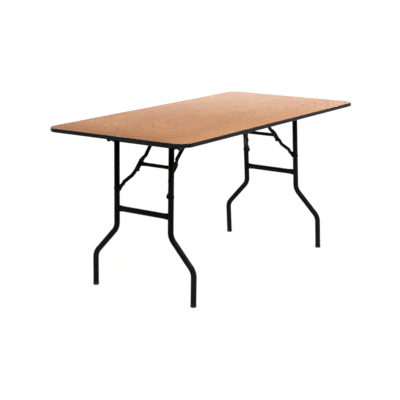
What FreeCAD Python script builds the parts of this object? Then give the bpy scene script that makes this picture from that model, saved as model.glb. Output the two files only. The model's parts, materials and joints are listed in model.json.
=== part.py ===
import FreeCAD, Part
import math
import os

# Folding banquet table: plywood top with a vinyl edge, two wishbone leg sets
# and a two-link folding brace on each set.
# Millimetres. X runs along the table, Y across it, Z up from the floor.
# The origin is on the floor under the middle of the top.
# End a is at -X and end b at +X. Side front is at -Y and side back at +Y.
# Set b hangs higher than set a, so that set a folds over it.

V = FreeCAD.Vector
UP = V(0, 0, 1)
ACROSS = V(0, 1, 0)

ENDS = {"a": -1, "b": 1}
SIDES = {"front": -1, "back": 1}

# Table
table_length = 1524.0
table_width = 762.0
table_height = 762.0
corner_radius = 64.0

# Plywood
ply_thickness = 15.9

# Vinyl edge moulding
edge_standout = 3.0
edge_crown = 0.5
edge_rounding = 0.9
tongue_depth = 9.5
tongue_thickness = 1.8
tongue_barb = 0.5
barb_length = 2.4
groove_clearance = 0.1

# Rivets through the top, their heads sunk in the plywood
top_rivet_radius = 2.5
top_rivet_head_radius = 4.8
top_rivet_head_height = 1.1
top_rivet_sink = 0.1
top_rivet_tail_radius = 4.4
top_rivet_tail_end_radius = 3.0
top_rivet_tail_height = 2.6
top_rivet_clearance = 0.1

# Low bumpers under the top that keep stacked tables apart
bumper_radius = 13.0
bumper_height = 6.0
bumper_recess = 3.2
bumper_recess_radius = 6.0
bumper_bevel = 1.5
bumper_end_inset = 272.0
bumper_edge_inset = 46.0

# Pressed steel brackets
sheet = 2.5
bracket_bend = 1.5

# Brackets that hold the pivot tube of a leg set
leg_bracket_y = 182.7
leg_bracket_width = 30.0
leg_bracket_length = 80.0
leg_bracket_rivet_span = 60.0
leg_ear_top = 58.0
leg_ear_radius = 17.5
leg_inner_ear_radius = 15.2

# Brackets that hold the upper links of a brace
brace_bracket_y = 72.4
brace_bracket_width = 25.0
brace_bracket_length = 76.0
brace_bracket_rivet_span = 57.0
brace_bracket_shift_a = -5.5
brace_bracket_shift_b = 14.1
brace_ear_top = 50.0
brace_ear_radius = 12.5

# Leg set
leg_end_inset_a = 221.8
leg_end_inset_b = 232.2
leg_pivot_drop_a = 44.5
leg_pivot_drop_b = 35.0
leg_splay_a = 1.5
leg_splay_b = 4.5
leg_tube_radius = 12.7
leg_tube_wall = 1.5
leg_upper_y = 151.5
leg_foot_y = 278.7
high_bend_run = 407.7
low_bend_run = 544.4
leg_bend_radius = 62.0
pivot_tube_end = 3.0
pivot_clearance = 0.08
weld_gap = 0.05

# Lower crossbar of a leg set
crossbar_run = 315.8
crossbar_end_tall = 31.0
crossbar_end_deep = 13.0
crossbar_pinch = 34.0

# Plastic end plugs and foot caps
plug_flange = 2.0
plug_bevel = 0.8
plug_depth = 11.0
plug_clearance = 0.15
cap_wall = 1.0
cap_height = 15.0
cap_floor = 4.0
cap_rounding = 1.6

# Folding brace
brace_tube_radius = 7.95
brace_tube_wall = 1.2
brace_reach_a = 204.7
brace_reach_b = 218.9
brace_pivot_drop_a = 50.3
brace_pivot_drop_b = 20.8
link_pivot_run = 225.2
upper_link_run_a = 160.4
upper_link_run_b = 168.9
upper_link_top_y = 91.0
upper_link_knee_y = 87.4
lap_plane_y = 96.6
lap_gap = 0.4
flat_half_width = 10.4
flat_thickness = 4.2
flat_step = 0.1
flat_lead = 1.0
link_gap = 0.3
link_end_flat = 13.0
swage_run = 14.0
lower_link_overlap = 18.0
lower_lap_flat = 32.0
joggle_start_a = 38.0
joggle_start_b = 50.0
joggle_run = 56.0
joggle_bend = 14.0
upper_link_overlap = 27.0
upper_lap_flat = 32.0

# Stop hook at the end of each upper link
hook_length = 7.0
hook_gap = 0.4
hook_thickness = 3.2
hook_depth = 7.0
hook_corner = 3.0

# Knee bar that joins the two upper links on their knee axis
knee_bar_end_tall = 22.0
knee_bar_end_deep = 9.0
knee_bar_pinch = 34.0

# Rivets of the brace
link_rivet_radius = 4.0
link_rivet_clearance = 0.08
link_rivet_head_radius = 7.5
link_rivet_head_height = 3.4
link_rivet_tail_radius = 6.0
knee_rivet_head_height = 6.0

# Length that a cutter runs past what it cuts
overrun = 2.0

# Values of each end together
leg_end_inset = {"a": leg_end_inset_a, "b": leg_end_inset_b}
leg_pivot_drop = {"a": leg_pivot_drop_a, "b": leg_pivot_drop_b}
leg_splay = {"a": leg_splay_a, "b": leg_splay_b}
brace_reach = {"a": brace_reach_a, "b": brace_reach_b}
brace_pivot_drop = {"a": brace_pivot_drop_a, "b": brace_pivot_drop_b}
brace_bracket_shift = {"a": brace_bracket_shift_a, "b": brace_bracket_shift_b}
upper_link_run = {"a": upper_link_run_a, "b": upper_link_run_b}
joggle_start = {"a": joggle_start_a, "b": joggle_start_b}

# Derived places
underside = table_height - ply_thickness
ply_middle = table_height - ply_thickness / 2
ply_length = table_length - 2 * edge_standout
ply_width = table_width - 2 * edge_standout
ply_corner = corner_radius - edge_standout
rivet_top = table_height - top_rivet_sink
leg_inner_y = leg_upper_y - leg_tube_radius
pivot_half_length = leg_bracket_y + leg_bracket_width / 2 + pivot_tube_end
upper_flat_y = lap_plane_y - lap_gap / 2 - flat_thickness / 2
upper_inner_face = lap_plane_y - lap_gap / 2 - flat_thickness
lower_link_lap_y = lap_plane_y + lap_gap / 2 + brace_tube_radius
lower_flat_y = lap_plane_y + lap_gap / 2 + flat_thickness / 2
lower_outer_face = lap_plane_y + lap_gap / 2 + flat_thickness
link_foot_flat_y = leg_inner_y - link_gap - flat_thickness / 2
lower_link_foot_y = leg_inner_y - link_gap - brace_tube_radius
brace_ear_face = brace_bracket_y + brace_bracket_width / 2
link_top_flat_y = brace_ear_face + link_gap + flat_thickness / 2
bumper_x = table_length / 2 - bumper_end_inset
bumper_y = table_width / 2 - bumper_edge_inset


def unit(vector):
    return vector / vector.Length


def fused(shapes):
    if len(shapes) == 1:
        return shapes[0]
    return shapes[0].multiFuse(shapes[1:]).removeSplitter()


def both_sides(shape):
    # The same shape on the front and the back side, as one group
    return Part.makeCompound([shape, mirror_y(shape)])


def mirror_y(shape):
    return shape.mirror(V(0, 0, 0), ACROSS)


def mirror_x(shape):
    return shape.mirror(V(0, 0, 0), V(1, 0, 0))


def rod(start, stop, radius):
    return Part.makeCylinder(radius, (stop - start).Length, start, unit(stop - start))


def rounded_route(points, radius):
    # Straight runs joined by tangent arcs of one radius
    edges = []
    last = points[0]
    for before, corner, after in zip(points, points[1:], points[2:]):
        first, second, centre = bend_places(before, corner, after, radius)
        inward = unit(centre - corner)
        edges.append(Part.LineSegment(last, first).toShape())
        edges.append(Part.Arc(first, centre - inward * radius, second).toShape())
        last = second
    edges.append(Part.LineSegment(last, points[-1]).toShape())
    return Part.Wire(edges)


def bend_places(before, corner, after, radius):
    # Where a bend starts and stops, and its centre
    back = unit(before - corner)
    ahead = unit(after - corner)
    half_turn = (math.pi - back.getAngle(ahead)) / 2
    reach = radius * math.tan(half_turn)
    centre = corner + unit(back + ahead) * (radius / math.cos(half_turn))
    return corner + back * reach, corner + ahead * reach, centre


def bent_rod(points, radius, bend):
    # Round bar with straight runs and bends of one radius
    pieces = []
    last = points[0]
    for before, corner, after in zip(points, points[1:], points[2:]):
        first, second, centre = bend_places(before, corner, after, bend)
        arrive = unit(corner - before)
        leave = unit(after - corner)
        disc = Part.Face(Part.Wire(Part.makeCircle(radius, first, arrive)))
        turn = math.degrees(arrive.getAngle(leave))
        pieces.append(rod(last, first, radius))
        pieces.append(disc.revolve(centre, unit(arrive.cross(leave)), turn))
        last = second
    pieces.append(rod(last, points[-1], radius))
    return fused(pieces)


def ring(centre, wide, thick, radius):
    # Circle in four arcs, the first about the wide direction
    def place(degrees):
        angle = math.radians(degrees)
        return centre + wide * (radius * math.cos(angle)) + thick * (radius * math.sin(angle))

    arcs = [Part.Arc(place(middle - 45), place(middle), place(middle + 45))
            for middle in (0, 90, 180, 270)]
    return Part.Wire([arc.toShape() for arc in arcs])


def slot(centre, wide, thick, half_width, half_thickness):
    # Flat section with round edges, in four pieces that match those of a ring
    flat = wide * (half_width - half_thickness)
    side = wide * half_width
    up = thick * half_thickness
    curves = [
        Part.Arc(centre + flat - up, centre + side, centre + flat + up),
        Part.LineSegment(centre + flat + up, centre - flat + up),
        Part.Arc(centre - flat + up, centre - side, centre - flat - up),
        Part.LineSegment(centre - flat - up, centre + flat - up),
    ]
    return Part.Wire([curve.toShape() for curve in curves])


def swage(round_section, flat_section):
    # The part of a tube pressed from round to flat
    return Part.makeLoft([round_section, flat_section], True, True)


def dome(centre, outward, radius, height):
    # Low round head: a spherical cap that stands on a plane
    sphere_radius = (radius * radius + height * height) / (2 * height)
    middle = centre - outward * (sphere_radius - height)
    ball = Part.makeSphere(sphere_radius, middle)
    seat = Part.makeCylinder(radius + overrun, height + overrun, centre, outward)
    return ball.common(seat)


def link_rivet(start, stop, tail_radius):
    # A round head stands behind start and a round tail stands past stop
    way = unit(stop - start)
    shank = rod(start, stop, link_rivet_radius)
    head = dome(start, way * -1, link_rivet_head_radius, link_rivet_head_height)
    tail = dome(stop, way, tail_radius, link_rivet_head_height)
    return fused([shank, head, tail])


# Places on a leg set and its brace


def leg_pivot_x(end):
    return table_length / 2 - leg_end_inset[end]


def brace_pivot_x(end):
    return leg_pivot_x(end) - brace_reach[end]


def brace_bracket_x(end):
    return brace_pivot_x(end) + brace_bracket_shift[end]


def leg_point(end, y, run):
    # A place on the plane of a leg set, run measured down from the pivot axis
    tilt = math.radians(leg_splay[end])
    x = leg_pivot_x(end) + run * math.sin(tilt)
    return V(ENDS[end] * x, y, underside - leg_pivot_drop[end] - run * math.cos(tilt))


def leg_run(end, height):
    tilt = math.radians(leg_splay[end])
    return (underside - leg_pivot_drop[end] - height) / math.cos(tilt)


def foot_run(end):
    # Where the cut end of a leg tube rests on the floor of its cap
    return leg_run(end, cap_floor) - leg_tube_radius * math.tan(math.radians(leg_splay[end]))


def brace_points(end):
    # Link pin on the leg, knee and bracket pin of a brace, in line when the legs are open
    foot = leg_point(end, 0, link_pivot_run)
    top = V(ENDS[end] * brace_pivot_x(end), 0, underside - brace_pivot_drop[end])
    knee = top + unit(foot - top) * upper_link_run[end]
    return foot, knee, top


# Plywood top and its edge


def round_plate(length, width, corner, bottom, top):
    x = length / 2
    y = width / 2
    points = [V(x, 0, bottom), V(x, y, bottom), V(-x, y, bottom), V(-x, -y, bottom)]
    points += [V(x, -y, bottom), V(x, 0, bottom)]
    outline = rounded_route(points, corner)
    return Part.Face(outline).extrude(UP * (top - bottom))


def around_edge(face):
    # Sweep a section, drawn on the back long side, once around the top
    x = ply_length / 2 - ply_corner
    y = ply_width / 2 - ply_corner
    corner = face.revolve(V(x, y, 0), UP, -90)
    long_side = face.extrude(V(-x, 0, 0))
    turned = face.copy()
    turned.rotate(V(x, y, 0), UP, -90)
    short_side = turned.extrude(V(0, -y, 0))
    quarter = fused([long_side, corner, short_side])
    half = fused([quarter, mirror_x(quarter)])
    return fused([half, mirror_y(half)])


def edge_place(out, z):
    return V(ply_length / 2 - ply_corner, ply_width / 2 + out, z)


def edge_band():
    low = underside
    high = table_height
    shoulder = edge_standout - edge_crown
    square = shoulder - edge_rounding
    soft = edge_rounding * (1 - math.sqrt(0.5))
    half = tongue_thickness / 2
    tip = -tongue_depth
    barb = tip + barb_length
    line = Part.LineSegment
    arc = Part.Arc
    edges = [
        line(edge_place(0, low), edge_place(square, low)),
        arc(edge_place(square, low), edge_place(shoulder - soft, low + soft),
            edge_place(shoulder, low + edge_rounding)),
        arc(edge_place(shoulder, low + edge_rounding), edge_place(edge_standout, ply_middle),
            edge_place(shoulder, high - edge_rounding)),
        arc(edge_place(shoulder, high - edge_rounding), edge_place(shoulder - soft, high - soft),
            edge_place(square, high)),
        line(edge_place(square, high), edge_place(0, high)),
        line(edge_place(0, high), edge_place(0, ply_middle + half)),
        line(edge_place(0, ply_middle + half), edge_place(barb, ply_middle + half)),
        line(edge_place(barb, ply_middle + half), edge_place(barb, ply_middle + half + tongue_barb)),
        line(edge_place(barb, ply_middle + half + tongue_barb), edge_place(tip, ply_middle)),
        line(edge_place(tip, ply_middle), edge_place(barb, ply_middle - half - tongue_barb)),
        line(edge_place(barb, ply_middle - half - tongue_barb), edge_place(barb, ply_middle - half)),
        line(edge_place(barb, ply_middle - half), edge_place(0, ply_middle - half)),
        line(edge_place(0, ply_middle - half), edge_place(0, low)),
    ]
    return around_edge(Part.Face(Part.Wire([edge.toShape() for edge in edges])))


def edge_groove():
    half = tongue_thickness / 2 + tongue_barb + groove_clearance
    depth = tongue_depth + groove_clearance
    low = ply_middle - half
    high = ply_middle + half
    corners = [edge_place(overrun, low), edge_place(overrun, high)]
    corners += [edge_place(-depth, high), edge_place(-depth, low), edge_place(overrun, low)]
    return around_edge(Part.Face(Part.makePolygon(corners)))


def leg_rivet_places():
    half = leg_bracket_rivet_span / 2
    return [(ENDS[end] * leg_pivot_x(end) + step * half, side * leg_bracket_y)
            for end in ENDS for side in SIDES.values() for step in (-1, 1)]


def brace_rivet_places():
    half = brace_bracket_rivet_span / 2
    return [(ENDS[end] * brace_bracket_x(end) + step * half, side * brace_bracket_y)
            for end in ENDS for side in SIDES.values() for step in (-1, 1)]


def bumper_places():
    return [(step * bumper_x, side * bumper_y)
            for side in SIDES.values() for step in (-1, 0, 1)]


def plywood_top():
    plate = round_plate(ply_length, ply_width, ply_corner, underside, table_height)
    cuts = [edge_groove()]
    above = table_height + overrun
    for x, y in leg_rivet_places() + brace_rivet_places() + bumper_places():
        seat = V(x, y, rivet_top - top_rivet_head_height)
        cuts.append(rod(V(x, y, underside - overrun), seat, top_rivet_radius + top_rivet_clearance))
        cuts.append(rod(seat, V(x, y, above), top_rivet_head_radius + top_rivet_clearance))
    return plate.cut(cuts)


def top_rivets(places, grip):
    # Rivets with a flat head sunk in the top and a tapered tail under what they hold
    rivets = []
    for x, y in places:
        seat = V(x, y, rivet_top - top_rivet_head_height)
        bottom = V(x, y, underside - grip)
        head = rod(seat, V(x, y, rivet_top), top_rivet_head_radius)
        shank = rod(bottom, seat, top_rivet_radius)
        tail = Part.makeCone(top_rivet_tail_radius, top_rivet_tail_end_radius,
                             top_rivet_tail_height, bottom, UP * -1)
        rivets.append(fused([head, shank, tail]))
    return Part.makeCompound(rivets)


def bumper(x, y):
    # Round pad with its rivet tail sunk into the lower face
    low = underside - bumper_height
    body = Part.makeCylinder(bumper_radius, bumper_height, V(x, y, low))
    rim = [edge for edge in body.Edges if edge.BoundBox.ZMax < low + bumper_bevel]
    body = body.makeChamfer(bumper_bevel, rim)
    below = V(x, y, low - overrun)
    recess = rod(below, V(x, y, low + bumper_recess), bumper_recess_radius)
    hole = rod(below, V(x, y, underside + overrun), top_rivet_radius + top_rivet_clearance)
    return body.cut([recess, hole])


# Pressed brackets


def ear_touch(corner, centre, lobe, hand):
    # Where a straight ear edge from a corner meets the round lobe
    reach = corner - centre
    slope = math.atan2(reach.z, reach.x) - hand * math.acos(lobe / reach.Length)
    return centre + V(lobe * math.cos(slope), 0, lobe * math.sin(slope))


def ear_face(half_top, centre, lobe):
    # Tapered ear with a round lobe about the pivot, drawn on the XZ plane from the underside
    right = V(half_top, 0, -sheet)
    left = V(-half_top, 0, -sheet)
    touch_right = ear_touch(right, centre, lobe, 1)
    touch_left = ear_touch(left, centre, lobe, -1)
    edges = [
        Part.LineSegment(left, right),
        Part.LineSegment(right, touch_right),
        Part.Arc(touch_right, centre - V(0, 0, lobe), touch_left),
        Part.LineSegment(touch_left, left),
    ]
    return Part.Face(Part.Wire([edge.toShape() for edge in edges]))


def bracket_blank(length, width, centre, half_top, lobes):
    # Folded sheet with its base under the top; lobes gives the ear radius of each side
    deep = max(lobes.values()) - centre.z
    half = width / 2
    block = Part.makeBox(length, width, deep, V(-length / 2, -half, -deep))
    hollow_low = -half + (sheet if -1 in lobes else -overrun)
    hollow_high = half - (sheet if 1 in lobes else -overrun)
    hollow = Part.makeBox(length + 2 * overrun, hollow_high - hollow_low, deep,
                          V(-length / 2 - overrun, hollow_low, -deep - sheet))
    outer = bracket_bend + sheet
    block = block.makeFillet(outer, [edge for edge in block.Edges if is_fold(edge, half, 0, lobes)])
    inner_edges = [edge for edge in hollow.Edges if is_fold(edge, half - sheet, -sheet, lobes)]
    hollow = hollow.makeFillet(bracket_bend, inner_edges)
    base = Part.makeBox(length, width + 2 * overrun, sheet, V(-length / 2, -half - overrun, -sheet))
    ears = [ear_face(half_top, centre, lobe).extrude(ACROSS * (side * (half + overrun)))
            for side, lobe in lobes.items()]
    return block.cut(hollow).common(fused([base] + ears))


def is_fold(edge, y, z, sides):
    # The long edges where the base turns down into an ear
    box = edge.BoundBox
    small = sheet / 2
    if box.XLength < small or abs(box.ZMax - z) > small / 2 or box.ZLength > small:
        return False
    return any(abs(box.YMax - side * y) < small / 2 and box.YLength < small for side in sides)


def rivet_holes(span):
    radius = top_rivet_radius + top_rivet_clearance
    return [rod(V(step * span / 2, 0, -sheet - overrun), V(step * span / 2, 0, overrun), radius)
            for step in (-1, 1)]


def bracket(blank, centre, hole_radius, rivet_span, place):
    # Bore the pivot and rivet holes, then move the bracket to its place
    reach = ACROSS * leg_bracket_width
    pivot = rod(centre - reach, centre + reach, hole_radius)
    body = blank.cut([pivot] + rivet_holes(rivet_span))
    body.translate(place)
    return body


def leg_bracket(end, side):
    centre = V(0, 0, -leg_pivot_drop[end])
    blank = bracket_blank(leg_bracket_length, leg_bracket_width, centre, leg_ear_top / 2,
                          {side: leg_ear_radius, -side: leg_inner_ear_radius})
    place = V(ENDS[end] * leg_pivot_x(end), side * leg_bracket_y, underside)
    return bracket(blank, centre, leg_tube_radius + pivot_clearance, leg_bracket_rivet_span, place)


def brace_bracket(end, side):
    # Angle bracket with one ear on the outer side
    centre = V(-ENDS[end] * brace_bracket_shift[end], 0, -brace_pivot_drop[end])
    blank = bracket_blank(brace_bracket_length, brace_bracket_width, centre, brace_ear_top / 2,
                          {side: brace_ear_radius})
    place = V(ENDS[end] * brace_bracket_x(end), side * brace_bracket_y, underside)
    return bracket(blank, centre, link_rivet_radius + link_rivet_clearance,
                   brace_bracket_rivet_span, place)


def brace_pivot_rivets(end):
    # The pins of the upper links, through the ears of their brackets
    top = brace_points(end)[2]
    start = top + ACROSS * (link_top_flat_y + flat_thickness / 2 + link_gap)
    stop = top + ACROSS * (brace_ear_face - sheet)
    return both_sides(link_rivet(start, stop, link_rivet_tail_radius))


# Leg sets


def pivot_tube(end):
    start = leg_point(end, -pivot_half_length, 0)
    stop = leg_point(end, pivot_half_length, 0)
    return rod(start, stop, leg_tube_radius).cut(rod(start, stop, leg_tube_radius - leg_tube_wall))


def pivot_plugs(end):
    inner = leg_tube_radius - leg_tube_wall - plug_clearance
    face = leg_point(end, pivot_half_length, 0)
    flange = Part.makeCylinder(leg_tube_radius, plug_flange, face, ACROSS)
    rim = [edge for edge in flange.Edges if edge.BoundBox.YMin > pivot_half_length + plug_flange / 2]
    flange = flange.makeChamfer(plug_bevel, rim)
    stem = Part.makeCylinder(inner, plug_depth, face - ACROSS * plug_depth, ACROSS)
    return both_sides(fused([flange, stem]))


def leg(end, side):
    turns = [(leg_upper_y, 0), (leg_upper_y, high_bend_run), (leg_foot_y, low_bend_run),
             (leg_foot_y, foot_run(end))]
    route = [leg_point(end, side * y, run) for y, run in turns]
    body = bent_rod(route, leg_tube_radius, leg_bend_radius)
    bore = bent_rod(route, leg_tube_radius - leg_tube_wall, leg_bend_radius)
    pivot = rod(leg_point(end, -pivot_half_length, 0), leg_point(end, pivot_half_length, 0),
                leg_tube_radius + weld_gap)
    reach = leg_tube_radius + overrun
    pin = rod(leg_point(end, side * (leg_upper_y - reach), link_pivot_run),
              leg_point(end, side * (leg_upper_y + reach), link_pivot_run),
              link_rivet_radius + link_rivet_clearance)
    return body.cut([bore, pivot, pin])


def pressed_bar(centre, tall, radius, wall, last, pinch, end_tall, end_deep):
    # Tube along Y through a centre, pressed tall at both ends
    deep = tall.cross(ACROSS)
    first = last - pinch
    pieces = [rod(centre - ACROSS * first, centre + ACROSS * first, radius)]
    for side in SIDES.values():
        round_section = ring(centre + ACROSS * (side * first), tall, deep, radius)
        end_section = slot(centre + ACROSS * (side * last), tall, deep, end_tall / 2, end_deep / 2)
        pieces.append(swage(round_section, end_section))
    bore = rod(centre - ACROSS * first, centre + ACROSS * first, radius - wall)
    return fused(pieces).cut(bore)


def lower_crossbar(end):
    # Tube whose ends are pressed tall where they meet the legs
    centre = leg_point(end, 0, crossbar_run)
    tall = unit(leg_point(end, 0, 0) - centre)
    body = pressed_bar(centre, tall, leg_tube_radius, leg_tube_wall,
                       leg_upper_y - crossbar_end_deep / 2, crossbar_pinch,
                       crossbar_end_tall, crossbar_end_deep)
    cuts = []
    for side in SIDES.values():
        cuts.append(rod(leg_point(end, side * leg_upper_y, crossbar_run - crossbar_end_tall),
                        leg_point(end, side * leg_upper_y, crossbar_run + crossbar_end_tall),
                        leg_tube_radius + weld_gap))
    return body.cut(cuts)


def foot_cap(end, side):
    # Cap pushed over the tube, with its sole flat on the floor
    top = leg_point(end, side * leg_foot_y, leg_run(end, cap_height))
    low = leg_point(end, side * leg_foot_y, leg_run(end, -overrun))
    outer = rod(low, top, leg_tube_radius + cap_wall)
    seat = leg_point(end, side * leg_foot_y, foot_run(end))
    bore = rod(seat, top + unit(top - low) * overrun, leg_tube_radius + weld_gap)
    reach = leg_tube_radius + cap_wall + overrun
    under = Part.makeBox(2 * reach, 2 * reach, reach, V(low.x - reach, low.y - reach, -reach))
    body = outer.cut(under)
    sole = [edge for edge in body.Edges if edge.BoundBox.ZMax < cap_rounding / 2]
    body = body.makeChamfer(cap_rounding, sole)
    return body.cut(bore)


def link_rivets(end):
    # Pins through the legs that carry the lower links
    start = leg_point(end, leg_upper_y + leg_tube_radius, link_pivot_run)
    stop = leg_point(end, link_foot_flat_y - flat_thickness / 2 - link_gap, link_pivot_run)
    return both_sides(link_rivet(start, stop, link_rivet_head_radius))


# Brace links


def pressed_end(round_place, flat_place, wide, thick):
    # A tube end pressed down to the flat that carries a pin
    round_section = ring(round_place, wide, thick, brace_tube_radius)
    flat_section = slot(flat_place, wide, ACROSS, flat_half_width - flat_step,
                        flat_thickness / 2 - flat_step)
    return swage(round_section, flat_section)


def flat_end(centre, inward, length):
    # Flat end of a tube: round about a centre, straight along the link
    wide = inward.cross(ACROSS) * flat_half_width
    base = centre - ACROSS * (flat_thickness / 2)
    end = base + inward * length
    edges = [
        Part.LineSegment(base + wide, end + wide),
        Part.LineSegment(end + wide, end - wide),
        Part.LineSegment(end - wide, base - wide),
        Part.Arc(base - wide, base - inward * flat_half_width, base + wide),
    ]
    outline = Part.Wire([edge.toShape() for edge in edges])
    return Part.Face(outline).extrude(ACROSS * flat_thickness)


def pin_hole(centre):
    # Cutter along Y for one pin on both sides
    reach = ACROSS * leg_upper_y
    return rod(centre - reach, centre + reach, link_rivet_radius + link_rivet_clearance)


def lower_link(end, side):
    # Round tube with a sideways step between its flat foot and its flat lap
    foot, knee, top = brace_points(end)
    along = unit(knee - foot)
    wide = along.cross(ACROSS)
    knee_run = (knee - foot).Length
    lap_run = knee_run - lower_lap_flat
    tip_run = knee_run + lower_link_overlap
    step_run = joggle_start[end]

    def place(run, y):
        return foot + along * run + ACROSS * (side * y)

    route = [place(link_end_flat + swage_run, lower_link_foot_y),
             place(step_run, lower_link_foot_y),
             place(step_run + joggle_run, lower_link_lap_y),
             place(lap_run - swage_run, lower_link_lap_y)]
    body = fused([
        bent_rod(route, brace_tube_radius, joggle_bend),
        pressed_end(route[0], place(link_end_flat, link_foot_flat_y), wide, ACROSS),
        pressed_end(route[-1], place(lap_run, lower_flat_y), wide, ACROSS),
        flat_end(place(0, link_foot_flat_y), along, link_end_flat + flat_lead),
        flat_end(place(tip_run, lower_flat_y), along * -1, tip_run - lap_run + flat_lead),
    ])
    return body.cut([pin_hole(foot), pin_hole(knee)])


def upper_link(end, side):
    # Round tube, flat at its pin and flat with a stop hook past the knee
    foot, knee, top = brace_points(end)
    along = unit(foot - top)
    wide = along.cross(ACROSS)
    lap_run = upper_link_run[end] - upper_lap_flat

    def place(run, y):
        return top + along * run + ACROSS * (side * y)

    first = place(link_end_flat + swage_run, upper_link_top_y)
    last = place(lap_run - swage_run, upper_link_knee_y)
    thick = wide.cross(unit(last - first))
    body = fused([
        rod(first, last, brace_tube_radius),
        pressed_end(first, place(link_end_flat, link_top_flat_y), wide, thick),
        pressed_end(last, place(lap_run, upper_flat_y), wide, thick),
        flat_end(place(0, link_top_flat_y), along, link_end_flat + flat_lead),
        hooked_end(top, along, end, side),
    ])
    return body.cut([pin_hole(top), pin_hole(knee)])


def hooked_end(top, along, end, side):
    # Flat end with a finger bent outward under the edge of the lower link
    below = V(along.z * ENDS[end], 0, -along.x * ENDS[end])
    face = top + ACROSS * (side * upper_inner_face)
    start_run = upper_link_run[end] - upper_lap_flat - flat_lead
    hook_run = upper_link_run[end] + upper_link_overlap
    last_run = hook_run + hook_length
    edge = flat_half_width + hook_gap
    outer = edge + hook_thickness

    def plate(outline, depth):
        points = [face + along * run + below * down for run, down in outline]
        return Part.Face(Part.makePolygon(points + points[:1])).extrude(ACROSS * (side * depth))

    flat = plate([(start_run, -flat_half_width), (last_run - hook_corner, -flat_half_width),
                  (last_run, hook_corner - flat_half_width), (last_run, outer), (hook_run, outer),
                  (hook_run - hook_corner, flat_half_width), (start_run, flat_half_width)],
                 flat_thickness)
    finger = plate([(hook_run, edge), (last_run, edge), (last_run, outer), (hook_run, outer)],
                   flat_thickness + hook_depth)
    return fused([flat, finger])


def knee_bar(end):
    # Tube between the upper links, pressed tall where it meets them
    foot, knee, top = brace_points(end)
    return pressed_bar(knee, unit(top - knee), brace_tube_radius, brace_tube_wall,
                       upper_inner_face - weld_gap, knee_bar_pinch,
                       knee_bar_end_tall, knee_bar_end_deep)


def knee_rivets(end):
    # Outer part of the knee pins, held in the lower links
    knee = brace_points(end)[1]
    face = knee + ACROSS * lower_outer_face
    head = dome(face, ACROSS, link_rivet_head_radius, knee_rivet_head_height)
    return both_sides(fused([head, rod(face - ACROSS * flat_thickness, face, link_rivet_radius)]))


def knee_rivet_tails(end):
    # Inner part of the knee pins, held in the upper links
    knee = brace_points(end)[1]
    face = knee + ACROSS * upper_inner_face
    return both_sides(rod(face, face + ACROSS * flat_thickness, link_rivet_radius))


def build():
    parts = {
        "plywood_top": plywood_top(),
        "edge_band": edge_band(),
        "leg_bracket_rivets": top_rivets(leg_rivet_places(), sheet),
        "brace_bracket_rivets": top_rivets(brace_rivet_places(), sheet),
        "bumper_rivets": top_rivets(bumper_places(), bumper_height - bumper_recess),
    }
    for number, (x, y) in enumerate(bumper_places(), 1):
        parts[f"bumper_{number}"] = bumper(x, y)
    for end in ENDS:
        parts[f"pivot_tube_{end}"] = pivot_tube(end)
        parts[f"pivot_plugs_{end}"] = pivot_plugs(end)
        parts[f"lower_crossbar_{end}"] = lower_crossbar(end)
        parts[f"link_rivets_{end}"] = link_rivets(end)
        parts[f"brace_pivot_rivets_{end}"] = brace_pivot_rivets(end)
        parts[f"knee_bar_{end}"] = knee_bar(end)
        parts[f"knee_rivets_{end}"] = knee_rivets(end)
        parts[f"knee_rivet_tails_{end}"] = knee_rivet_tails(end)
        for name, side in SIDES.items():
            parts[f"leg_bracket_{end}_{name}"] = leg_bracket(end, side)
            parts[f"brace_bracket_{end}_{name}"] = brace_bracket(end, side)
            parts[f"leg_{end}_{name}"] = leg(end, side)
            parts[f"foot_cap_{end}_{name}"] = foot_cap(end, side)
            parts[f"lower_link_{end}_{name}"] = lower_link(end, side)
            parts[f"upper_link_{end}_{name}"] = upper_link(end, side)
    return parts


def main():
    os.makedirs("parts", exist_ok=True)
    for name, shape in build().items():
        shape.exportStep(os.path.join("parts", name + ".step"))
        solids = shape.Solids
        volume = sum(solid.Volume for solid in solids)
        print(f"{name}: {len(solids)} solids, {volume:.0f} mm3, valid {shape.isValid()}")


main()
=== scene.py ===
import json
import math

import bpy
from mathutils import Matrix, Vector


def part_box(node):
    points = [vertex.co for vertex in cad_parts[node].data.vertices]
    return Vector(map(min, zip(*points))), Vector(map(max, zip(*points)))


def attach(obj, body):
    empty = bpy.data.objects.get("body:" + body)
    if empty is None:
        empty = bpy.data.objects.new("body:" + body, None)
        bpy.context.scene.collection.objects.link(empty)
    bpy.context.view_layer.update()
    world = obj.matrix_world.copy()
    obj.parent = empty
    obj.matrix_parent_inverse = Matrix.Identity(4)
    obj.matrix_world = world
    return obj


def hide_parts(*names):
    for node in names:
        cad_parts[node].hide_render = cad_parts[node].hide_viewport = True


# Looks of a folding banquet table: a lacquered plywood top with a vinyl edge,
# powder-coated steel legs and braces, zinc rivets and black plastic caps.
# Metres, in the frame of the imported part.

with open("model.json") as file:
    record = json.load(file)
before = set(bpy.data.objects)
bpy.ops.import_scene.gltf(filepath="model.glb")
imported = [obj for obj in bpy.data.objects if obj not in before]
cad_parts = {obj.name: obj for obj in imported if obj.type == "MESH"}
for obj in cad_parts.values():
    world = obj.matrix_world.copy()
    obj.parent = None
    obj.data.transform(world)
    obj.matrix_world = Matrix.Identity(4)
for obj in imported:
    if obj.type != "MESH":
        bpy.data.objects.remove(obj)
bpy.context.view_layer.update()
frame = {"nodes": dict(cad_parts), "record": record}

# Camera, fitted to the photo. The centre is where the camera's axis meets the
# picture, in columns and rows.
photo_size = 400
sensor_width = 36.0
focal_pixels = 1004.16
camera_place = Vector((-3.96814, -2.68092, 1.48586))
view_azimuth = math.radians(-55.239)
view_elevation = math.radians(13.517)
view_roll = math.radians(0.015)
centre_column = 200.14
centre_row = 199.90
view_far = 200.0

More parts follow.
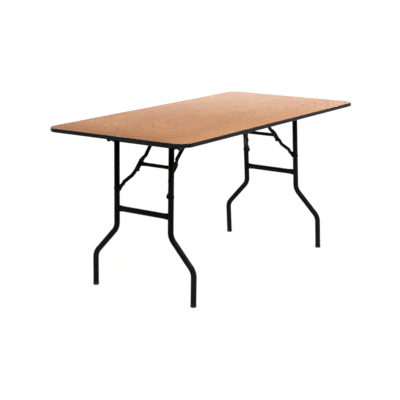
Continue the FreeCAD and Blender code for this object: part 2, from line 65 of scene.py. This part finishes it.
# Vinyl moulding and steel tubes, which the photo shows thicker than the solids
# are. The tubes' growth goes by how a node's name starts.
band_height = 0.0177
band_standout = 0.003
band_corner = 0.061
corner_steps = 16
profile_steps = 14
profile_power = 5.0
tube_growth = {"upper_link": 0.0008, "lower_link": 0.0008, "knee_bar": 0.0008,
               "lower_crossbar": 0.0005, "leg_a_": 0.0005, "leg_b_": 0.0005}
weld_distance = 0.00001

# The sideways step of the lower links: the run of its upper bend from the
# foot pin, and how much nearer the foot it is in the photo
step_bend_run = {"a": 0.094, "b": 0.106}
step_bend_reach = 0.014
step_bend_shift = 0.014

# Background
white = (1.0, 1.0, 1.0, 1.0)
world_level = 0.55
world_white = 1.0
world_white_share = 1.0
floor_size = 60.0
floor_drop = 0.0002
floor_colour = (0.88, 0.88, 0.88, 1.0)
floor_roughness = 0.9
floor_white_share = 0.88
floor_glow = 1.07

# Lamps: power, place, target and size of each
table_middle = (0.0, 0.0, 0.5)
above_top = (0.0, 0.0, 1.0)
lamps = {
    "key": (64.0, (-0.4, -2.4, 3.4), table_middle, (0.9, 0.9)),
    "fill": (24.0, (2.8, 2.2, 2.6), table_middle, (2.6, 2.6)),
    "panel": (148.0, (5.57, 3.9, 1.24), above_top, (5.0, 0.97)),
}

# In the settings below, a noise is its scale, detail, roughness and, where it
# has one, distortion. A range is the two values that go in and, where they
# aren't 0 and 1, the two that come out. A bump is its strength and distance. A
# stretch has X along the grain, and a depth is how far a mark darkens the wood.

# Growth rings of the veneer: ovals round one eye, bent by drift and ripple, in
# a wave that a slower one is mixed with
eye_place = (-0.13, -0.055, 0.0)
eye_reach = (0.46, 0.185, 1000.0)
eye_rings = 9.5
drift_stretch = (3.4, 6.4, 60.0)
drift_noise = (1.0, 2.0, 0.45, 0.35)
drift_rings = 4.0
ripple_stretch = (11.0, 34.0, 60.0)
ripple_noise = (1.0, 3.0, 0.55)
ripple_rings = 1.5
slow_pace = 0.41
slow_share = 0.38

# Dark bands and thin lines of those rings, stronger in some patches
patch_stretch = (4.2, 8.5, 60.0)
patch_noise = (1.0, 3.0, 0.6)
patch_range = (0.34, 0.60, 0.35, 1.0)
ring_range = (-0.55, 0.85)
ring_depth = 0.36
line_range = (0.60, 0.97)
line_depth = 0.60

# Fibres and pores along the grain
fibre_stretch = (5.0, 330.0, 60.0)
fibre_noise = (1.0, 4.0, 0.6)
fibre_range = (0.40, 0.72, 0.0, 0.42)
pore_stretch = (30.0, 900.0, 60.0)
pore_noise = (1.0, 2.0, 0.5)
pore_range = (0.60, 0.72)
pore_depth = 0.40

# Small knots: places, half axes and turn
knots = [(0.258, 0.033), (-0.192, -0.213), (0.506, -0.213), (0.063, -0.078), (0.528, 0.217)]
knot_reach = (0.023, 0.0095, 1000.0)
knot_turn = math.radians(24.0)
knot_range = (0.25, 1.0, 1.0, 0.0)
knot_depth = 0.75

# Veneer colours: blotches, a deeper end a and a paler front side, which is painted sheen
blotch_stretch = (2.4, 5.6, 60.0)
blotch_noise = (1.3, 4.0, 0.62, 0.4)
blotch_range = (0.36, 0.64)
deep_end = (-0.84, -0.46, 0.90, 0.0)
painted_sheen_side = (-0.37, -0.21, 0.78, 0.0)
# Colour of the painted sheen along the front side
painted_sheen_veneer = (0.620, 0.290, 0.100, 1.0)
veneer_light = (0.600, 0.277, 0.108, 1.0)
veneer_middle = (0.520, 0.227, 0.084, 1.0)
veneer_dark = (0.370, 0.123, 0.024, 1.0)
veneer_knot = (0.210, 0.055, 0.010, 1.0)

# Lacquer
lacquer = {"Coat Weight": 0.08, "Coat Roughness": 0.12, "Coat IOR": 1.5,
           "Specular IOR Level": 0.0}
veneer_roughness = (0.3, 0.7, 0.36, 0.50)
pore_relief = -0.6
veneer_bump = (0.06, 0.0004)

# What the dark finishes share. Each one has its own scale of grain.
mottle_noise = (9.0, 4.0, 0.6)
mottle_range = (0.35, 0.70)
speckle_noise = (140.0, 3.0, 0.6)
speckle_range = (0.25, 0.75)
speckle_spread = 0.06
grain_detail = (2.0, 0.5)
grain_distance = 0.0003

# Dark finishes: two tones, roughness, scale and strength of the grain, and gloss
vinyl = {"dark": (0.004, 0.004, 0.0045, 1.0), "grey": (0.008, 0.008, 0.0085, 1.0),
         "roughness": 0.40, "grain": 1500.0, "relief": 0.22, "gloss": 0.10}
plastic = {"dark": (0.007, 0.007, 0.007, 1.0), "grey": (0.013, 0.013, 0.013, 1.0),
           "roughness": 0.45, "grain": 1200.0, "relief": 0.2, "gloss": 0.25}
rubber = {"dark": (0.003, 0.003, 0.003, 1.0), "grey": (0.008, 0.0075, 0.007, 1.0),
          "roughness": 0.60, "grain": 700.0, "relief": 0.3, "gloss": 0.25}
powder_coat = {"dark": (0.0008, 0.0008, 0.0009, 1.0), "grey": (0.0020, 0.0020, 0.0021, 1.0),
               "roughness": 0.34, "grain": 900.0, "relief": 0.16, "gloss": 0.03}

# Painted light on the powder coat, in patches: lighter low down as painted floor bounce, towards
# end b as painted haze and on what faces up as painted highlight
painted_light_colour = (0.0105, 0.0105, 0.0108, 1.0)
painted_bounce_height = (0.38, 0.12)
painted_haze_length = (-0.1, 0.5, 0.0, 0.6)
painted_highlight_facing = (0.30, 0.95, 0.0, 0.9)
painted_light_noise = (22.0, 4.0, 0.65)
painted_light_range = (0.30, 0.62, 0.55, 1.0)
coat_film = {"Coat Weight": 0.03, "Coat Roughness": 0.14, "Coat IOR": 1.5}

# Zinc rivets
zinc_light = (0.40, 0.43, 0.45, 1.0)
zinc_dark = (0.27, 0.30, 0.32, 1.0)
zinc_noise = (420.0, 3.0, 0.6)
zinc_range = (0.35, 0.68)
zinc_roughness = (0.3, 0.7, 0.32, 0.48)
zinc_metal = {"Metallic": 0.85, "Specular IOR Level": 0.5}
zinc_grain = (900.0, 2.0, 0.5)
zinc_bump = (0.15, 0.0002)


def feed(tree, socket, value):
    # A socket takes a link or a plain value
    if isinstance(value, bpy.types.NodeSocket):
        tree.links.new(value, socket)
    else:
        socket.default_value = value


def math_node(tree, operation, *values):
    node = tree.nodes.new("ShaderNodeMath")
    node.operation = operation
    for socket, value in zip(node.inputs, values):
        feed(tree, socket, value)
    return node.outputs["Value"]


def added(name, data):
    # A new object in the scene
    thing = bpy.data.objects.new(name, data)
    bpy.context.scene.collection.objects.link(thing)
    return thing


class Finish:
    """One procedural material and short calls for its nodes."""

    def __init__(self, name):
        self.material = bpy.data.materials.new(name)
        self.material.use_nodes = True
        self.tree = self.material.node_tree
        self.shader = self.tree.nodes["Principled BSDF"]
        self.place = self.add("ShaderNodeTexCoord").outputs["Object"]

    def add(self, kind, **settings):
        node = self.tree.nodes.new(kind)
        for name, value in settings.items():
            setattr(node, name, value)
        return node

    def feed(self, socket, value):
        feed(self.tree, socket, value)

    def set(self, values):
        for name, value in values.items():
            self.feed(self.shader.inputs[name], value)

    def stretched(self, scale):
        node = self.add("ShaderNodeMapping")
        self.feed(node.inputs["Vector"], self.place)
        self.feed(node.inputs["Scale"], scale)
        return node.outputs["Vector"]

    def reach(self, place, size, turn=0.0):
        # Distance from a place, in half axes of an oval of that size
        node = self.add("ShaderNodeMapping", vector_type="TEXTURE")
        self.feed(node.inputs["Vector"], self.place)
        self.feed(node.inputs["Location"], place)
        self.feed(node.inputs["Rotation"], (0.0, 0.0, turn))
        self.feed(node.inputs["Scale"], size)
        length = self.add("ShaderNodeVectorMath", operation="LENGTH")
        self.feed(length.inputs[0], node.outputs["Vector"])
        return length.outputs["Value"]

    def part_of(self, vector, axis):
        node = self.add("ShaderNodeSeparateXYZ")
        self.feed(node.inputs["Vector"], vector)
        return node.outputs[axis]

    def along(self, axis):
        return self.part_of(self.place, axis)

    def facing_up(self):
        return self.part_of(self.add("ShaderNodeNewGeometry").outputs["Normal"], "Z")

    def noise(self, place, scale, detail, roughness, distortion=0.0):
        node = self.add("ShaderNodeTexNoise")
        self.feed(node.inputs["Vector"], place)
        self.feed(node.inputs["Scale"], scale)
        self.feed(node.inputs["Detail"], detail)
        self.feed(node.inputs["Roughness"], roughness)
        self.feed(node.inputs["Distortion"], distortion)
        return node.outputs["Fac"]

    def math(self, operation, *values):
        return math_node(self.tree, operation, *values)

    def between(self, value, low, high, out_low=0.0, out_high=1.0):
        node = self.add("ShaderNodeMapRange", interpolation_type="SMOOTHSTEP")
        for socket, item in zip(node.inputs, (value, low, high, out_low, out_high)):
            self.feed(socket, item)
        return node.outputs["Result"]

    def mix(self, share, first, second):
        # Inputs 6 and 7 and output 2 are the node's colour sockets
        node = self.add("ShaderNodeMix", data_type="RGBA")
        self.feed(node.inputs["Factor"], share)
        self.feed(node.inputs[6], first)
        self.feed(node.inputs[7], second)
        return node.outputs[2]

    def bump(self, height, strength, distance):
        node = self.add("ShaderNodeBump")
        self.feed(node.inputs["Height"], height)
        self.feed(node.inputs["Strength"], strength)
        self.feed(node.inputs["Distance"], distance)
        self.feed(self.shader.inputs["Normal"], node.outputs["Normal"])


def ring_wave(finish):
    # Wave over a height whose contours are the growth rings of the veneer
    drift = finish.noise(finish.stretched(drift_stretch), *drift_noise)
    ripple = finish.noise(finish.stretched(ripple_stretch), *ripple_noise)
    height = finish.math("MULTIPLY", finish.reach(eye_place, eye_reach), eye_rings)
    height = finish.math("MULTIPLY_ADD", drift, drift_rings, height)
    height = finish.math("MULTIPLY_ADD", ripple, ripple_rings, height)
    fast = finish.math("SINE", finish.math("MULTIPLY", height, 2 * math.pi))
    slow = finish.math("SINE", finish.math("MULTIPLY", height, 2 * math.pi * slow_pace))
    fast = finish.math("MULTIPLY", fast, 1.0 - slow_share)
    return finish.math("MULTIPLY_ADD", slow, slow_share, fast)


def knot_share(finish):
    total = 0.0
    for x, y in knots:
        reach = finish.reach((x, y, 0.0), knot_reach, knot_turn)
        total = finish.math("ADD", finish.between(reach, *knot_range), total)
    return total


def veneer_ground(finish):
    # Colour of the veneer before its rings, knots, fibres and pores, with a painted sheen along
    # the front side
    blotch = finish.noise(finish.stretched(blotch_stretch), *blotch_noise)
    tone = finish.mix(finish.between(blotch, *blotch_range), veneer_middle, veneer_light)
    tone = finish.mix(finish.between(finish.along("X"), *deep_end), tone, veneer_dark)
    # Paler front side: painted sheen
    return finish.mix(finish.between(finish.along("Y"), *painted_sheen_side), tone, painted_sheen_veneer)


def plywood_finish():
    # Rotary-cut veneer under a clear lacquer
    finish = Finish("lacquered_plywood")
    wave = ring_wave(finish)
    patch = finish.noise(finish.stretched(patch_stretch), *patch_noise)
    patch = finish.between(patch, *patch_range)
    ring = finish.math("MULTIPLY", finish.between(wave, *ring_range), patch)
    line = finish.math("MULTIPLY", finish.between(wave, *line_range), patch)
    fibre = finish.noise(finish.stretched(fibre_stretch), *fibre_noise)
    pore = finish.noise(finish.stretched(pore_stretch), *pore_noise)
    pore = finish.between(pore, *pore_range)
    tone = veneer_ground(finish)
    tone = finish.mix(finish.math("MULTIPLY", ring, ring_depth), tone, veneer_dark)
    tone = finish.mix(finish.math("MULTIPLY", line, line_depth), tone, veneer_dark)
    tone = finish.mix(finish.math("MULTIPLY", knot_share(finish), knot_depth), tone, veneer_knot)
    tone = finish.mix(finish.between(fibre, *fibre_range), tone, veneer_dark)
    tone = finish.mix(finish.math("MULTIPLY", pore, pore_depth), tone, veneer_dark)
    finish.set({"Base Color": tone, "Roughness": finish.between(fibre, *veneer_roughness)})
    finish.set(lacquer)
    finish.bump(finish.math("MULTIPLY_ADD", pore, pore_relief, fibre), *veneer_bump)
    return finish.material


def dark_surface(name, dark, grey, roughness, grain, relief, gloss):
    # Black surface with soft mottling, uneven roughness and a fine grain
    finish = Finish(name)
    mottle = finish.noise(finish.place, *mottle_noise)
    speckle = finish.noise(finish.place, *speckle_noise)
    tone = finish.mix(finish.between(mottle, *mottle_range), dark, grey)
    uneven = finish.between(speckle, *speckle_range,
                            roughness - speckle_spread, roughness + speckle_spread)
    finish.set({"Base Color": tone, "Roughness": uneven, "Specular IOR Level": gloss})
    finish.bump(finish.noise(finish.place, grain, *grain_detail), relief, grain_distance)
    return finish, tone


def dark_finish(name, look):
    return dark_surface(name, **look)[0].material


def powder_coat_finish():
    # Satin black with painted light: greyer low down as painted floor bounce, towards end b as
    # painted haze and on upward faces as painted highlight
    finish, tone = dark_surface("powder_coat", **powder_coat)
    low = finish.between(finish.along("Z"), *painted_bounce_height)
    far = finish.between(finish.along("X"), *painted_haze_length)
    cloud = finish.between(finish.noise(finish.place, *painted_light_noise), *painted_light_range)
    facing = finish.between(finish.facing_up(), *painted_highlight_facing)
    # Share of the painted light: painted floor bounce, painted haze and painted highlight,
    # broken into patches
    share = finish.math("MAXIMUM", finish.math("MAXIMUM", low, far), facing)
    share = finish.math("MULTIPLY", share, cloud)
    finish.set({"Base Color": finish.mix(share, tone, painted_light_colour)})
    finish.set(coat_film)
    return finish.material


def zinc_finish():
    # Zinc-plated steel with dull spots and a fine grain
    finish = Finish("zinc_plated_steel")
    spots = finish.noise(finish.place, *zinc_noise)
    tone = finish.mix(finish.between(spots, *zinc_range), zinc_light, zinc_dark)
    finish.set({"Base Color": tone, "Roughness": finish.between(spots, *zinc_roughness)})
    finish.set(zinc_metal)
    finish.bump(finish.noise(finish.place, *zinc_grain), *zinc_bump)
    return finish.material


def dress_nodes():
    finishes = {
        "plywood": plywood_finish(),
        "edge_vinyl": dark_finish("edge_vinyl", vinyl),
        "black_steel": powder_coat_finish(),
        "rivet_steel": zinc_finish(),
        "black_plastic": dark_finish("black_plastic", plastic),
        "foot_rubber": dark_finish("foot_rubber", rubber),
    }
    for part in frame["record"]["subparts"]:
        for slot in frame["nodes"][part["node"]].material_slots:
            slot.material = finishes[part["material_slot"]]
    return finishes


def rounded_outline(half_x, half_y, radius):
    # Points and outward directions round a rectangle with round corners
    places = []
    for turn, (side_x, side_y) in enumerate([(1, 1), (-1, 1), (-1, -1), (1, -1)]):
        centre = Vector((side_x * (half_x - radius), side_y * (half_y - radius), 0.0))
        for step in range(corner_steps + 1):
            angle = math.radians(90.0) * (turn + step / corner_steps)
            out = Vector((math.cos(angle), math.sin(angle), 0.0))
            places.append((centre + out * radius, out))
    return places


def moulding_profile(middle, half):
    # Inner corners and a domed outer face, as distance from the panel's edge and height
    points = [(0.0, middle + half), (0.0, middle - half)]
    for step in range(1, profile_steps):
        angle = math.pi * (step / profile_steps - 0.5)
        out = math.cos(angle) ** (2 / profile_power)
        rise = abs(math.sin(angle)) ** (2 / profile_power)
        points.append((band_standout * out, middle + math.copysign(half * rise, angle)))
    return points


def ring_faces(rings, size):
    # Faces of a closed ring of profiles, each with that many points
    faces = []
    for here in range(rings):
        after = (here + 1) % rings
        for item in range(size):
            beside = (item + 1) % size
            faces.append((here * size + item, after * size + item,
                          after * size + beside, here * size + beside))
    return faces


def add_band(finish):
    # The photographed moulding hangs lower than the solid one
    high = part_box("edge_band")[1]
    half = band_height / 2
    outline = rounded_outline(high.x - band_standout, high.y - band_standout, band_corner)
    profile = moulding_profile(high.z - half, half)
    points = [place + out * reach + Vector((0, 0, height))
              for place, out in outline for reach, height in profile]
    faces = ring_faces(len(outline), len(profile))
    mesh = bpy.data.meshes.new("edge_moulding")
    mesh.from_pydata(points, [], faces)
    mesh.polygons.foreach_set("use_smooth", [True] * len(faces))
    mesh.validate()
    mesh.materials.append(finish)
    band = added("edge_moulding", mesh)
    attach(band, "table_top")
    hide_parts("edge_band")


def box_middle(name):
    # Middle of a node's box, in the plane of the linkage
    low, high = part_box(name)
    return Vector(((low.x + high.x) / 2, 0.0, (low.z + high.z) / 2))


def shorten_step(mesh, end):
    # The photographed lower links step sideways over a shorter run
    foot = box_middle("link_rivets_" + end)
    along = (box_middle("knee_rivets_" + end) - foot).normalized()
    for vertex in mesh.vertices:
        run = (vertex.co - foot).dot(along)
        if abs(run - step_bend_run[end]) < step_bend_reach:
            vertex.co -= along * step_bend_shift


def add_thick_tube(name, body, amount, finish):
    # A copy of the solid tube, its faces joined up and then pushed outwards
    tube = added("thick_" + name, frame["nodes"][name].data.copy())
    tube.material_slots[0].material = finish
    if name.startswith("lower_link"):
        shorten_step(tube.data, name.split("_")[2])
    weld = tube.modifiers.new("weld", "WELD")
    weld.merge_threshold = weld_distance
    growth = tube.modifiers.new("growth", "DISPLACE")
    growth.mid_level = 0.0
    growth.strength = amount
    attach(tube, body)
    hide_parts(name)


def add_thick_tubes(finish):
    for body, names in frame["record"]["behaviour"]["bodies"].items():
        for name in names:
            for start, amount in tube_growth.items():
                if name.startswith(start):
                    add_thick_tube(name, body, amount, finish)


def look_axes():
    # Columns of the camera's axes: right, up and backwards
    flat = math.cos(view_elevation)
    ahead = Vector((-math.sin(view_azimuth) * flat, math.cos(view_azimuth) * flat,
                    -math.sin(view_elevation)))
    right = ahead.cross(Vector((0, 0, 1))).normalized()
    up = right.cross(ahead)
    turned_right = right * math.cos(view_roll) + up * math.sin(view_roll)
    turned_up = up * math.cos(view_roll) - right * math.sin(view_roll)
    return Matrix((turned_right, turned_up, -ahead)).transposed()


def add_camera():
    data = bpy.data.cameras.new("photo_camera")
    data.sensor_fit = "HORIZONTAL"
    data.sensor_width = sensor_width
    data.lens = focal_pixels * sensor_width / photo_size
    data.shift_x = (photo_size / 2 - centre_column) / photo_size
    data.shift_y = (centre_row - photo_size / 2) / photo_size
    data.clip_end = view_far
    camera = added("photo_camera", data)
    camera.matrix_world = Matrix.Translation(camera_place) @ look_axes().to_4x4()
    bpy.context.scene.camera = camera


def show_white(tree, plain, bright, share, output):
    # Camera, glossy and transmission rays see that share of the bright shader
    rays = tree.nodes.new("ShaderNodeLightPath").outputs
    seen = math_node(tree, "MAXIMUM", rays["Is Camera Ray"], rays["Is Glossy Ray"])
    seen = math_node(tree, "MAXIMUM", seen, rays["Is Transmission Ray"])
    blend = tree.nodes.new("ShaderNodeMixShader")
    feed(tree, blend.inputs[0], math_node(tree, "MULTIPLY", seen, share))
    feed(tree, blend.inputs[1], plain.outputs[0])
    feed(tree, blend.inputs[2], bright.outputs[0])
    feed(tree, tree.nodes[output].inputs["Surface"], blend.outputs[0])


def add_world():
    world = bpy.data.worlds.new("studio")
    world.use_nodes = True
    tree = world.node_tree
    plain = tree.nodes["Background"]
    bright = tree.nodes.new("ShaderNodeBackground")
    for node, strength in ((plain, world_level), (bright, world_white)):
        node.inputs["Color"].default_value = white
        node.inputs["Strength"].default_value = strength
    show_white(tree, plain, bright, world_white_share, "World Output")
    bpy.context.scene.world = world


def floor_finish():
    material = bpy.data.materials.new("floor_white")
    material.use_nodes = True
    tree = material.node_tree
    shader = tree.nodes["Principled BSDF"]
    shader.inputs["Base Color"].default_value = floor_colour
    shader.inputs["Roughness"].default_value = floor_roughness
    shader.inputs["Specular IOR Level"].default_value = 0.0
    glow = tree.nodes.new("ShaderNodeEmission")
    glow.inputs["Strength"].default_value = floor_glow
    show_white(tree, shader, glow, floor_white_share, "Material Output")
    return material


def add_floor():
    half = floor_size / 2
    corners = [(-half, -half, -floor_drop), (half, -half, -floor_drop),
               (half, half, -floor_drop), (-half, half, -floor_drop)]
    mesh = bpy.data.meshes.new("floor")
    mesh.from_pydata(corners, [], [(0, 1, 2, 3)])
    mesh.materials.append(floor_finish())
    floor = added("floor", mesh)


def add_lamp(name, power, place, target, size):
    data = bpy.data.lights.new(name, "AREA")
    data.shape = "RECTANGLE"
    data.size, data.size_y = size
    data.energy = power
    lamp = added(name, data)
    lamp.location = place
    lamp.rotation_euler = (Vector(target) - Vector(place)).to_track_quat("-Z", "Y").to_euler()


bpy.context.scene.view_settings.view_transform = "Standard"
finishes = dress_nodes()
add_band(finishes["edge_vinyl"])
add_thick_tubes(finishes["black_steel"])
add_camera()
add_world()
add_floor()
for name, settings in lamps.items():
    add_lamp(name, *settings)
